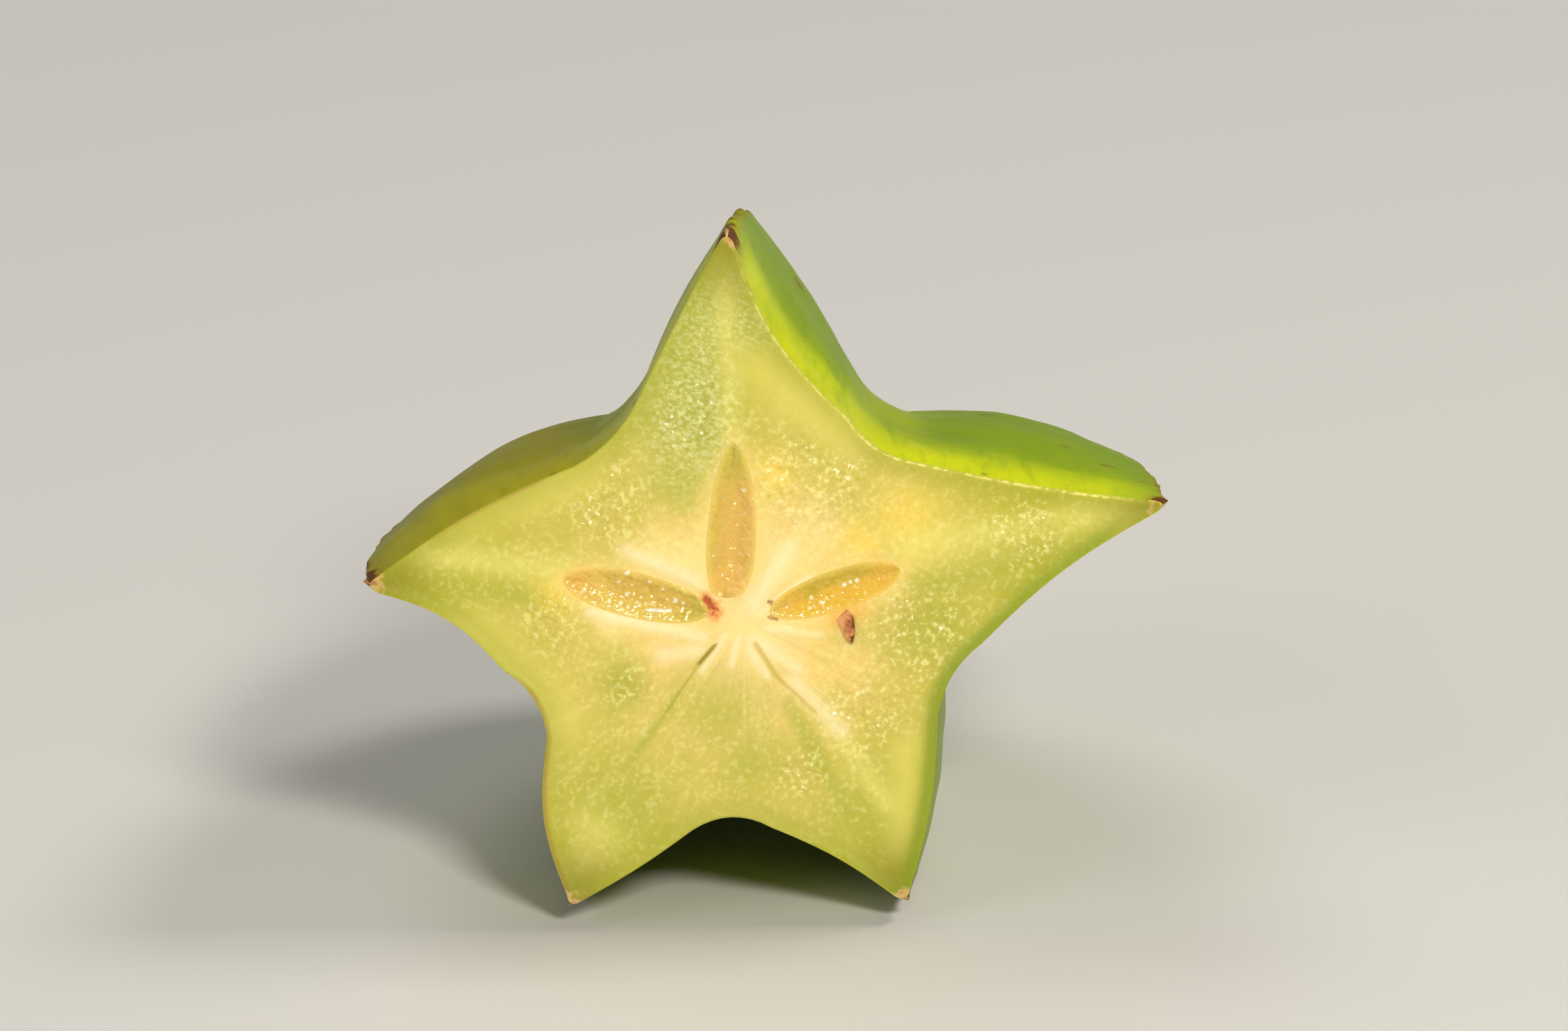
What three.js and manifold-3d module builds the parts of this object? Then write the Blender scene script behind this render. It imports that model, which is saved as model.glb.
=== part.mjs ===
// Half of a star fruit (carambola), cut across and laid on two of its five ridges with the star showing.
// Millimetres, +Z up. The cut star looks towards -Y, the body runs back along +Y to the blossom end, and
// the origin is on the surface below the middle of the object.
import * as THREE from 'three';
import { mergeVertices } from 'three/addons/utils/BufferGeometryUtils.js';
import Module from 'manifold-3d';

// The body.
const FRUIT_LENGTH = 58; // from the core of the cut to the blossom end
const CREST_BLUNTNESS = 0.4; // power of the curve that carries the crests in to the blossom end
const VALLEY_BLUNTNESS = 0.5; // the same for the valley floors, which run in sooner
const VALLEY_HIGHEST = 7; // distance behind the cut at which the valley floors stand furthest out
const CREST_SOFTNESS = 1.1; // stretch of flank on each side of a crest that its rounding takes up
const VALLEY_SOFTNESS = 3.4; // the same for a valley floor
const SCAR_RADIUS = 0.8; // dry scar left by the flower at the blossom end
const SCAR_TAPER = 0.75; // radius of its top as a share of its foot
const SCAR_HEIGHT = 0.9;
const SCAR_DIMPLE = 0.3; // how far the foot of the scar lies below the ends of the ridges

// The five ridges, going round clockwise from the upper one. Points are in the plane of the cut, x to the
// right and z up from the core. bow is how far the flank before the crest and the flank after it swell
// outwards at the cut, filling is how much further they swell at mid-length, and highest is the distance
// behind the cut at which the crest stands furthest out, or would if the fruit went on past the cut.
const RIDGES = [
  { crest: [-11.5, 26.6], valley: [4.5, 14.8], bow: [0.1, -1.2], filling: [0.5, 1.4], highest: 5 },
  { crest: [26.2, 19.0], valley: [15.2, 1.6], bow: [-0.3, -0.7], filling: [1.4, 0.6], highest: -3 },
  { crest: [18.8, -15.6], valley: [4.0, -13.2], bow: [0.5, -0.4], filling: [0.3, 0.3], highest: 9 },
  { crest: [-4.5, -24.6], valley: [-12.0, -10.2], bow: [0.2, 1.0], filling: [0.4, 0.6], highest: 9 },
  { crest: [-27.1, -7.1], valley: [-13.5, 9.1], bow: [-1.0, 0.7], filling: [0.4, 1.0], highest: 13 },
];

// The seed chambers that the cut opens, from their inner to their outer end in the plane of the cut. Three
// are open and hold a seed in its jelly; the other two have closed to slits. widths are how far a chamber
// reaches to the left and to the right of the line from its inner to its outer end, and ends how pointed
// those two ends are: 1 comes to a point and 0.5 is as round as an ellipse.
const OPEN_CHAMBERS = [
  {
    seed: 'seed_upper',
    inner: [-1.9, 1.1],
    outer: [-5.4, 12.1],
    widths: [1.55, 2.05],
    ends: [0.3, 0.55],
    depth: 5.5,
  },
  {
    seed: 'seed_right',
    inner: [1.6, 1.2],
    outer: [9.4, 7.5],
    widths: [1.5, 1.5],
    ends: [0.5, 0.45],
    depth: 4.5,
  },
  {
    seed: 'seed_left',
    inner: [-2.7, -0.4],
    outer: [-13.5, -1.7],
    widths: [1.6, 1.75],
    ends: [0.5, 0.5],
    depth: 5.0,
  },
];
const SLITS = [
  { inner: [-1.2, -2.4], outer: [-2.3, -6.0], widths: [0.3, 0.3], ends: [1, 1], depth: 1.6 },
  { inner: [1.6, -1.3], outer: [5.0, -3.4], widths: [0.25, 0.25], ends: [1, 1], depth: 1.4 },
];
const SEED_CLEARANCE = 0.38; // between a seed's jelly and the wall of its chamber
const SEED_END_CLEARANCE = 0.65; // the same at the two ends
const SEED_TOP_SINK = 0.35; // how far the rim of the jelly lies below the cut
const SEED_TOP_CROWN = 0.3; // how far its top swells above that rim

// A brown chip of a seed, caught by the knife beside the right-hand chamber.
const CHIP = { inner: [6.9, 2.8], outer: [8.0, 0.8], widths: [0.85, 0.85], ends: [0.8, 0.8], depth: 1.5 };

// How the half lies.
const CUT_TURN = 6; // degrees that the cut is turned from square to the body
const CUT_LEAN = 6.4; // degrees that the cut leans back, and the body slopes down, while the half rests
const ROLL = 20.4; // degrees that the half has rolled over to lie on its two lower ridges
const REST_FLAT_DEPTH = 0.2; // how far the resting ridges are pressed flat
const SURFACE_THICKNESS = 10; // of the block that presses them

// Fineness of the surfaces.
const BODY_STATIONS = 24;
const FLANK_STEPS = 5;
const CORNER_STEPS = 4;
const CHAMBER_SIDES = 20;
const CHAMBER_STEPS = 12;
const SLIT_SIDES = 8;
const SLIT_STEPS = 6;

const wasm = await Module();
wasm.setup();

const radians = THREE.MathUtils.degToRad;

/** A closed geometry as a solid that can be cut. */
function toSolid(geometry) {
  const bare = geometry.clone();
  bare.deleteAttribute('normal');
  bare.deleteAttribute('uv');
  const merged = mergeVertices(bare, 1e-4);
  const corners = merged.index.array;
  const triangles = [];
  for (let i = 0; i < corners.length; i += 3) {
    const [a, b, c] = corners.slice(i, i + 3);
    if (a !== b && b !== c && c !== a) {
      triangles.push(a, b, c);
    }
  }
  return new wasm.Manifold(new wasm.Mesh({
    numProp: 3,
    vertProperties: new Float32Array(merged.attributes.position.array),
    triVerts: new Uint32Array(triangles),
  }));
}

/** A solid as a geometry to show. */
function toGeometry(solid) {
  const mesh = solid.getMesh();
  const geometry = new THREE.BufferGeometry();
  geometry.setAttribute('position', new THREE.BufferAttribute(mesh.vertProperties, 3));
  geometry.setIndex(new THREE.BufferAttribute(mesh.triVerts, 1));
  geometry.computeVertexNormals();
  return geometry;
}

/** Distance of a crest or valley from the axis at a station, as a share of its distance at the cut. */
function swelling(distance, highest, bluntness) {
  const rise = (station) => {
    const share = (station - highest) / (FRUIT_LENGTH - highest);
    return Math.max(0, 1 - share * share) ** bluntness;
  };
  return rise(distance) / rise(0);
}

/** The crests and valleys in turn at a station behind the cut. */
function cornersAt(distance) {
  const fullness = Math.sin((Math.PI * distance) / FRUIT_LENGTH);
  const corners = [];
  RIDGES.forEach((ridge, i) => {
    const next = RIDGES[(i + 1) % RIDGES.length];
    const crestShare = swelling(distance, ridge.highest, CREST_BLUNTNESS);
    const valleyShare = swelling(distance, VALLEY_HIGHEST, VALLEY_BLUNTNESS);
    corners.push({
      point: new THREE.Vector2(...ridge.crest).multiplyScalar(crestShare),
      softness: CREST_SOFTNESS * Math.min(1, crestShare),
      bowAfter: ridge.bow[1] * crestShare + ridge.filling[1] * fullness,
    });
    corners.push({
      point: new THREE.Vector2(...ridge.valley).multiplyScalar(valleyShare),
      softness: VALLEY_SOFTNESS * Math.min(1, valleyShare),
      bowAfter: next.bow[0] * crestShare + next.filling[0] * fullness,
    });
  });
  return corners;
}

/** The outline of the fruit at a station: rounded crests and valleys joined by bowed flanks. */
function outlineAt(distance) {
  const corners = cornersAt(distance);
  const roundings = corners.map((corner, i) => {
    const before = corners.at(i - 1).point;
    const after = corners[(i + 1) % corners.length].point;
    const towards = (other) => other.clone().sub(corner.point).setLength(corner.softness).add(corner.point);
    return new THREE.QuadraticBezierCurve(towards(before), corner.point, towards(after));
  });
  const outline = [];
  roundings.forEach((rounding, i) => {
    outline.push(...rounding.getPoints(CORNER_STEPS));
    const start = rounding.v2;
    const end = roundings[(i + 1) % roundings.length].v0;
    const along = end.clone().sub(start);
    const outwards = new THREE.Vector2(-along.y, along.x).normalize();
    for (let step = 1; step < FLANK_STEPS; step += 1) {
      const share = step / FLANK_STEPS;
      const bow = corners[i].bowAfter * Math.sin(Math.PI * share);
      outline.push(start.clone().addScaledVector(along, share).addScaledVector(outwards, bow));
    }
  });
  return outline;
}

/** The turn from the cut's own frame, square to the cut, to how the half lies. */
function restingTurn() {
  const roll = new THREE.Matrix4().makeRotationY(radians(ROLL));
  const turn = new THREE.Matrix4().makeRotationZ(radians(CUT_TURN));
  const lean = new THREE.Matrix4().makeRotationX(radians(-CUT_LEAN));
  return lean.multiply(turn).multiply(roll);
}

/** The run of the body in the cut's own frame, so that it lies straight back while the cut is turned. */
function bodyRun() {
  const lyingRun = new THREE.Vector3(0, 1, 0).applyAxisAngle(new THREE.Vector3(1, 0, 0), radians(-CUT_LEAN));
  return lyingRun.applyMatrix4(restingTurn().invert());
}

/** One ring of the body: an outline set at its distance along the run of the body. */
function ringOf(outline, distance) {
  const centre = bodyRun().multiplyScalar(distance);
  return outline.map((point) => new THREE.Vector3(point.x, 0, point.y).add(centre));
}

/** The rings of the body, from the cut to the top of the scar at the blossom end. */
function bodyRings() {
  const rings = [];
  for (let station = 0; station < BODY_STATIONS; station += 1) {
    const distance = FRUIT_LENGTH * Math.sin((station / BODY_STATIONS) * (Math.PI / 2));
    rings.push(ringOf(outlineAt(distance), distance));
  }
  const spokes = outlineAt(0);
  const circle = (radius) => spokes.map((spoke) => spoke.clone().setLength(radius));
  const foot = FRUIT_LENGTH - SCAR_DIMPLE;
  rings.push(ringOf(circle(SCAR_RADIUS), foot));
  rings.push(ringOf(circle(SCAR_RADIUS * SCAR_TAPER), foot + SCAR_HEIGHT));
  return rings;
}

/** The whole half as it grew, cut flat at the star and closed at the scar. */
function bodyGeometry() {
  const rings = bodyRings();
  const around = rings[0].length;
  const points = rings.flat();
  const triangles = [];
  for (let ring = 0; ring + 1 < rings.length; ring += 1) {
    for (let side = 0; side < around; side += 1) {
      const a = ring * around + side;
      const b = ring * around + ((side + 1) % around);
      triangles.push(a, b, b + around, a, b + around, a + around);
    }
  }
  const flat = rings[0].map((point) => new THREE.Vector2(point.x, point.z)).reverse();
  for (const face of THREE.ShapeUtils.triangulateShape(flat, [])) {
    triangles.push(...face.map((corner) => around - 1 - corner));
  }
  const lastStart = (rings.length - 1) * around;
  const pole = points.push(bodyRun().multiplyScalar(FRUIT_LENGTH - SCAR_DIMPLE + SCAR_HEIGHT)) - 1;
  for (let side = 0; side < around; side += 1) {
    triangles.push(lastStart + side, lastStart + ((side + 1) % around), pole);
  }
  const geometry = new THREE.BufferGeometry().setFromPoints(points);
  geometry.setIndex(triangles);
  return geometry;
}

/** How wide a pod is at a share of the way from its inner to its outer end, as a share of its widest. */
function podSwelling(share, [innerEnd, outerEnd]) {
  const rise = (at) => at ** innerEnd * (1 - at) ** outerEnd;
  return rise(share) / rise(innerEnd / (innerEnd + outerEnd));
}

/**
 * A pod that lies in the cut, as a seed chamber or a seed does. It reaches depth into the fruit and crown
 * out of it, measured from its rim.
 */
function podGeometry({ inner, outer, widths, ends, depth }, crown, sides, steps) {
  const start = new THREE.Vector2(...inner);
  const end = new THREE.Vector2(...outer);
  const length = start.distanceTo(end);
  const profile = [];
  for (let step = 0; step <= steps; step += 1) {
    const share = (1 - Math.cos((Math.PI * step) / steps)) / 2;
    profile.push(new THREE.Vector2(podSwelling(share, ends), length * share));
  }
  profile[0].x = 0;
  profile[steps].x = 0;
  const geometry = new THREE.LatheGeometry(profile, sides);
  const position = geometry.attributes.position;
  for (let i = 0; i < position.count; i += 1) {
    const toLeft = position.getX(i);
    const inwards = position.getZ(i);
    position.setX(i, toLeft * (toLeft > 0 ? widths[0] : widths[1]));
    position.setZ(i, inwards * (inwards > 0 ? depth : crown));
  }
  // The lathe's axis lies along the chamber, and its Z runs into the fruit.
  const along = end.clone().sub(start).normalize();
  const axis = new THREE.Vector3(along.x, 0, along.y);
  const inwards = new THREE.Vector3(0, 1, 0);
  const left = new THREE.Vector3().crossVectors(axis, inwards);
  geometry.applyMatrix4(new THREE.Matrix4().makeBasis(left, axis, inwards));
  geometry.translate(start.x, 0, start.y);
  return geometry;
}

/** A chamber's seed in its jelly: the same pod, drawn in all round by the clearances. */
function seedGeometry(chamber, sides, steps) {
  const inner = new THREE.Vector2(...chamber.inner);
  const outer = new THREE.Vector2(...chamber.outer);
  const along = outer.clone().sub(inner).normalize();
  const pod = {
    inner: inner.addScaledVector(along, SEED_END_CLEARANCE).toArray(),
    outer: outer.addScaledVector(along, -SEED_END_CLEARANCE).toArray(),
    widths: chamber.widths.map((width) => width - SEED_CLEARANCE),
    ends: chamber.ends,
    depth: chamber.depth - SEED_TOP_SINK - 2 * SEED_CLEARANCE,
  };
  return podGeometry(pod, SEED_TOP_CROWN, sides, steps).translate(0, SEED_TOP_SINK, 0);
}

const placing = restingTurn();
const turnedBody = bodyGeometry().applyMatrix4(placing);
turnedBody.computeBoundingBox();
const box = turnedBody.boundingBox;
const middle = box.getCenter(new THREE.Vector3());
placing.premultiply(new THREE.Matrix4().makeTranslation(-middle.x, -middle.y, -box.min.z - REST_FLAT_DEPTH));

const place = (geometry) => toSolid(geometry.applyMatrix4(placing));

const surface = new THREE.BoxGeometry(2 * FRUIT_LENGTH, 2 * FRUIT_LENGTH, SURFACE_THICKNESS);
surface.translate(0, 0, -SURFACE_THICKNESS / 2);
let fruit = place(bodyGeometry()).subtract(toSolid(surface));
for (const chamber of OPEN_CHAMBERS) {
  fruit = fruit.subtract(place(podGeometry(chamber, chamber.depth, CHAMBER_SIDES, CHAMBER_STEPS)));
}
for (const slit of SLITS) {
  fruit = fruit.subtract(place(podGeometry(slit, slit.depth, SLIT_SIDES, SLIT_STEPS)));
}
fruit = fruit.subtract(place(podGeometry(CHIP, CHIP.depth, SLIT_SIDES, SLIT_STEPS)));

const skin = new THREE.MeshStandardMaterial({ color: 0xa9b82a, roughness: 0.35, metalness: 0 });
const jelly = new THREE.MeshStandardMaterial({ color: 0xc9b45a, roughness: 0.12, metalness: 0 });
const seedCoat = new THREE.MeshStandardMaterial({ color: 0x7a4a1e, roughness: 0.5, metalness: 0 });

const starFruit = new THREE.Group();

/** Adds a solid to the object as a named node. */
function addNode(name, geometry, material) {
  const mesh = new THREE.Mesh(geometry, material);
  mesh.name = name;
  starFruit.add(mesh);
}

addNode('star_fruit', toGeometry(fruit), skin);
for (const chamber of OPEN_CHAMBERS) {
  addNode(chamber.seed, toGeometry(place(seedGeometry(chamber, CHAMBER_SIDES, CHAMBER_STEPS))), jelly);
}
addNode('seed_chip', toGeometry(place(seedGeometry(CHIP, SLIT_SIDES, SLIT_STEPS))), seedCoat);

export default starFruit;
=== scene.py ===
import math
from collections import namedtuple

import bmesh
import bpy
from mathutils import Matrix, Vector, kdtree, noise


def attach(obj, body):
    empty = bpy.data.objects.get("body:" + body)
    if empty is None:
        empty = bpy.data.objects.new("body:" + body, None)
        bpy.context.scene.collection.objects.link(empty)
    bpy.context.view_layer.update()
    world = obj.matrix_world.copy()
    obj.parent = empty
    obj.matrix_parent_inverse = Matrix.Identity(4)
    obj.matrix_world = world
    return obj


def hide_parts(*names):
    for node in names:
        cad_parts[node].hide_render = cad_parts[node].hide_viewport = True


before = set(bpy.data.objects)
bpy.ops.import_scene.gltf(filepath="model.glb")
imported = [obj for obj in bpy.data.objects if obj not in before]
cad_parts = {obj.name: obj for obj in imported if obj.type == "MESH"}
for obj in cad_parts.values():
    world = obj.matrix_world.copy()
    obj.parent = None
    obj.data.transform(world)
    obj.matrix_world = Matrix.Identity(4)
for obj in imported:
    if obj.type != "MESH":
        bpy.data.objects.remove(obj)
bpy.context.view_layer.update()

MM = 0.001

# The body, as in the solid model.
FRUIT_LENGTH = 58.0
CREST_BLUNTNESS = 0.4
VALLEY_BLUNTNESS = 0.5
VALLEY_HIGHEST = 7.0
CREST_SOFTNESS = 1.1
VALLEY_SOFTNESS = 3.4
SCAR_RADIUS = 0.8
SCAR_TAPER = 0.75
SCAR_HEIGHT = 0.9
SCAR_DIMPLE = 0.3

Ridge = namedtuple("Ridge", "crest valley bow filling highest")
RIDGES = [
    Ridge(crest=(-11.5, 26.6), valley=(4.5, 14.8), bow=(0.1, -1.2), filling=(0.5, 1.4), highest=5.0),
    Ridge(crest=(26.2, 19.0), valley=(15.2, 1.6), bow=(-0.3, -0.7), filling=(1.4, 0.6), highest=-3.0),
    Ridge(crest=(18.8, -15.6), valley=(4.0, -13.2), bow=(0.5, -0.4), filling=(0.3, 0.3), highest=9.0),
    Ridge(crest=(-4.5, -24.6), valley=(-12.0, -10.2), bow=(0.2, 1.0), filling=(0.4, 0.6), highest=9.0),
    Ridge(crest=(-27.1, -7.1), valley=(-13.5, 9.1), bow=(-1.0, 0.7), filling=(0.4, 1.0), highest=13.0),
]

# The open seed chambers in the cut, from their inner to their outer end. widths are how far one reaches to
# the left and to the right of the line between them, and ends how pointed the two ends are.
Chamber = namedtuple("Chamber", "name inner outer widths ends depth")
UPPER = Chamber("seed_upper", (-1.9, 1.1), (-5.4, 12.1), widths=(1.55, 2.05), ends=(0.3, 0.55), depth=5.5)
RIGHT = Chamber("seed_right", (1.6, 1.2), (9.4, 7.5), widths=(1.5, 1.5), ends=(0.5, 0.45), depth=4.5)
LEFT = Chamber("seed_left", (-2.7, -0.4), (-13.5, -1.7), widths=(1.6, 1.75), ends=(0.5, 0.5), depth=5.0)
CHAMBERS = [UPPER, RIGHT, LEFT]

# The brown chip of seed beside the right-hand chamber, and its bed in the flesh. Fronts and backs are depths
# below the cut.
CHIP_OUTLINE = [(6.3, 2.35), (6.8, 3.4), (7.5, 3.0), (7.95, 2.1), (8.1, 1.15), (7.3, 1.45)]
CHIP_RIDGE = ((6.95, 3.2), (7.75, 1.6))
CHIP_FRONT = 0.12
CHIP_BACK = 1.1
CHIP_RIDGE_HEIGHT = 0.45
CHIP_RIDGE_WIDTH = 0.45
CHIP_ROUNDING = 0.12
CHIP_BED_GROWTH = 0.9
CHIP_BED_FRONT = -1.0
CHIP_BED_BACK = 1.2

# The two chambers that have closed: a gaping slit below, and a seam between pale lips to the right.
SLIT = ((-1.35, -2.5), (-1.95, -4.2))
SLIT_TRACE = ((-1.95, -4.2), (-3.0, -8.6))
SEAM = ((1.4, -1.3), (3.6, -3.0))
SEAM_TRACE = ((3.6, -3.0), (7.4, -4.6))
STAIN = ((-3.1, 0.5), (-2.3, -0.1))
CORE_DOT = (0.05, 0.7)

# Where the flesh is paler, warmer, greener, smoother or full of bright flecks: x, z and reach of each soft
# patch, or the line it lies along and its reach.
CREAM_PLACES = [
    (0.6, -0.6, 3.0), (0.9, 4.6, 3.2), (2.2, 8.4, 2.0), (-5.2, 2.2, 2.4), (-7.5, 1.6, 2.2), (-9.0, -3.6, 1.2),
]
WARM_PLACES = [
    (-1.9, 10.8, 1.6), (8.9, 10.9, 2.8), (6.0, 8.4, 1.8), (-13.6, -2.8, 1.6),
]
JUICE = ((6.3, 2.6), (7.4, 3.5))
GREEN_PLACES = [
    (-9.6, 14.5, 4.4), (-11.0, 21.5, 3.4), (-8.2, 7.8, 2.4), (13.0, 4.4, 3.0), (22.0, 13.4, 3.4),
    (1.0, -6.8, 4.8), (4.0, -9.6, 3.0), (15.0, -10.4, 5.0), (-3.2, -16.4, 4.2), (-22.0, -4.6, 3.4),
    (18.2, 9.8, 2.2), (-6.4, -7.6, 2.5),
]
GREEN_STREAKS = [
    ((11.6, 7.2), (22.4, 14.2), 1.5), ((-7.8, 11.4), (-9.4, 16.8), 1.2), ((-14.6, -3.6), (-20.0, -4.8), 1.1),
    ((5.4, -4.8), (13.0, -11.4), 1.0), ((-2.6, -7.0), (-4.4, -13.5), 0.5),
]
PALE_STREAKS = [
    ((1.3, -1.1), (4.9, -2.0), 0.55), ((1.1, -1.8), (3.0, -3.2), 0.40), ((1.8, 0.1), (5.6, 0.9), 0.26),
    ((-0.9, -1.6), (-1.6, -4.6), 0.30), ((-2.4, -3.2), (-4.6, -4.4), 0.60), ((0.1, -1.4), (0.3, -3.4), 0.26),
    ((0.2, 1.2), (1.2, 6.2), 0.70), ((-2.4, -2.2), (-10.8, -3.4), 0.50), ((-4.2, 1.5), (-10.0, 1.9), 0.55),
    ((0.9, 0.9), (3.4, 4.6), 0.34), ((5.0, -2.9), (9.6, -5.2), 0.60),
]
VEINS = [
    ((-5.9, 12.6), (-10.8, 24.2), 1.0), ((9.4, 9.4), (23.2, 17.2), 1.4), ((8.0, -4.4), (14.6, -9.2), 0.8),
    ((-4.6, -18.8), (-4.9, -21.6), 1.8), ((-13.9, -1.0), (-24.0, -3.6), 1.1),
]
UPPER_VEIN = ((-5.7, 12.2), (-11.2, 25.6))
SMOOTH_PLACES = [
    ((-5.4, 17.8), (2.0, 15.6), 2.0), ((-22.6, 0.4), (-15.4, 6.4), 2.2), ((-18.0, -8.0), (-10.5, -12.0), 2.2),
    ((14.8, -5.0), (17.2, -12.0), 1.5),
]
FLECKED_PLACES = [
    (-8.6, 13.0, 3.6), (0.8, 11.8, 4.2), (12.4, 3.4, 3.8), (10.6, -3.8, 3.2), (-12.6, 4.8, 3.2),
    (8.0, -9.0, 1.8), (-13.4, -4.6, 2.2), (-6.2, -7.4, 1.6), (17.0, 13.4, 2.6),
]
# Rims where the flesh is greener, and where the skin just behind the cut is painted dark green as shade.
GREEN_AND_SHADED_RIMS = [((23.0, 13.8), (15.4, 1.8)), ((15.4, 1.0), (18.6, -14.8))]
RUSTY_RIMS = [((-12.6, -10.4), (-5.2, -24.0)), ((-24.0, -0.6), (-19.0, 4.4))]

# Dry brown places on the crests just behind the cut: x, y, z and reach.
SCUFFS = [(-11.5, 1.6, 26.6, 2.6), (26.2, 0.6, 19.0, 1.3), (-27.1, 1.2, -7.1, 1.6)]

# Droplets and a ridge of juice standing on the jelly, with painted white highlights on them: x, z and reach.
DROPLETS = [
    (-3.4, 9.0, 0.2), (-2.9, 6.4, 0.12), (-2.3, 3.4, 0.15), (-2.6, 2.6, 0.12), (6.0, 5.0, 0.22),
    (6.35, 5.35, 0.2), (6.8, 5.6, 0.22), (4.1, 3.2, 0.18), (4.9, 3.2, 0.18), (4.5, 2.75, 0.12),
    (5.5, 3.0, 0.12), (-9.3, 0.3, 0.18), (-7.5, 0.3, 0.16), (-6.4, 0.1, 0.14), (-9.6, -0.5, 0.2),
    (-8.6, -0.4, 0.14), (-8.7, -1.2, 0.2), (-8.2, -1.0, 0.12), (-5.2, -0.4, 0.26), (-4.6, -0.4, 0.2),
    (-5.8, -0.5, 0.12), (-8.9, -1.95, 0.2), (-8.3, -2.0, 0.16), (-11.8, -1.9, 0.2), (-10.6, -1.2, 0.12),
]
JUICE_RIDGE = ((-6.9, -1.75), (-5.3, -1.2))
JUICE_RIDGE_WIDTH = 0.16
JUICE_RIDGE_HEIGHT = 0.1
DROPLET_HEIGHT = 0.6
SPLINTERS = [((1.4, 2.0), (1.75, 1.8)), ((1.75, 0.95), (2.1, 0.85))]

# Relief of the cut: how far each hollow lies below the knife's plane, or each height above it. A groove
# follows a line and has a depth and a width.
RIM_DIP = 0.08
KNIFE_WAVE = 0.12
GRAIN_DEPTH = 0.03
CHAMBER_RIM_DIP = 0.13
GROOVES = [(SLIT, 0.26, 0.12), (SLIT_TRACE, 0.06, 0.3), (SEAM, 0.02, 0.14), (SEAM_TRACE, 0.03, 0.3)]
STREAK_HEIGHT = 0.05
CORE_DOT_DEPTH = 0.22
STAIN_DEPTH = 0.2
FROST_DEPTH = 0.12
VEIN_HEIGHT = 0.06

# Unevenness of the skin: soft swellings, and on the crests waves, nicks and a dry fin just behind the cut.
BROAD_SWELL = 0.30
FINE_SWELL = 0.12
CREST_WAVE = 0.34
CREST_NICKS = 0.14
CREST_FIN = 0.45

# How the half lies.
CUT_TURN = math.radians(6.0)
CUT_LEAN = math.radians(6.4)
ROLL = math.radians(20.4)
REST_FLAT_DEPTH = 0.2

# Fineness of the body's surface.
BODY_STATIONS = 84
FACE_RINGS = 72
FLANK_STEPS = 40
CORNER_STEPS = 8
STEPS_AROUND = 10 * (CORNER_STEPS + FLANK_STEPS)
STEPS_PER_RIDGE = STEPS_AROUND // 5
CREST_STEP = CORNER_STEPS // 2

# Fineness of the chambers' walls and of the jelly, in steps round and along a pod.
WALL_STEPS = (64, 48)
JELLY_STEPS = (128, 220)

# Where the flesh is taken to be: faces that look out of the cut, and the walls of the chambers.
CUT_FACING = 0.3
CUT_REACH = 1.5
CHAMBERS_REACH = 7.0
CHAMBERS_SPAN = 13.9


# ---------------------------------------------------------------- the form of the fruit

def swelling(distance, highest, bluntness):
    """Distance of a crest or valley from the axis at a station, as a share of its distance at the cut."""
    def rise(station):
        share = (station - highest) / (FRUIT_LENGTH - highest)
        return max(0.0, 1 - share * share) ** bluntness
    return rise(distance) / rise(0.0)


def corners_at(distance):
    """The crests and valleys in turn at a station: point, softness and bow of the flank after it."""
    fullness = math.sin(math.pi * distance / FRUIT_LENGTH)
    valley_share = swelling(distance, VALLEY_HIGHEST, VALLEY_BLUNTNESS)
    corners = []
    for ridge, after in zip(RIDGES, RIDGES[1:] + RIDGES[:1]):
        crest_share = swelling(distance, ridge.highest, CREST_BLUNTNESS)
        corners.append((
            Vector(ridge.crest) * crest_share,
            CREST_SOFTNESS * min(1.0, crest_share),
            ridge.bow[1] * crest_share + ridge.filling[1] * fullness,
        ))
        corners.append((
            Vector(ridge.valley) * valley_share,
            VALLEY_SOFTNESS * min(1.0, valley_share),
            after.bow[0] * crest_share + after.filling[0] * fullness,
        ))
    return corners


def rounding_of(corners, i):
    """The start, corner and end of the curve that rounds a corner of the outline."""
    point, softness, _ = corners[i]
    before = corners[i - 1][0]
    after = corners[(i + 1) % len(corners)][0]
    start = point + (before - point).normalized() * softness
    end = point + (after - point).normalized() * softness
    return start, point, end


def outline_at(distance):
    """The star at a station: rounded crests and valleys joined by bowed flanks."""
    corners = corners_at(distance)
    roundings = [rounding_of(corners, i) for i in range(len(corners))]
    outline = []
    for i, (start, corner, end) in enumerate(roundings):
        for step in range(CORNER_STEPS + 1):
            t = step / CORNER_STEPS
            outline.append(start * (1 - t) ** 2 + corner * (2 * t * (1 - t)) + end * t ** 2)
        along = roundings[(i + 1) % len(roundings)][0] - end
        outwards = Vector((-along.y, along.x)).normalized()
        for step in range(1, FLANK_STEPS):
            share = step / FLANK_STEPS
            bow = corners[i][2] * math.sin(math.pi * share)
            outline.append(end + along * share + outwards * bow)
    return outline


def resting_turn():
    """The turn from the cut's own frame, square to the cut, to how the half lies."""
    lean = Matrix.Rotation(-CUT_LEAN, 4, "X")
    turn = Matrix.Rotation(CUT_TURN, 4, "Z")
    roll = Matrix.Rotation(ROLL, 4, "Y")
    return lean @ turn @ roll


def body_run():
    """The run of the body in the cut's own frame, for each millimetre behind the cut."""
    lying_run = Matrix.Rotation(-CUT_LEAN, 3, "X") @ Vector((0, 1, 0))
    return resting_turn().to_3x3().inverted() @ lying_run


RUN = body_run()


def on_ring(point, distance):
    """A point of an outline at a station, in the cut's own frame."""
    return Vector((point.x, 0, point.y)) + RUN * distance


def station_distance(station):
    """Distance behind the cut of a station, closer together towards the blossom end."""
    return FRUIT_LENGTH * math.sin(station / BODY_STATIONS * math.pi / 2)


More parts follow.
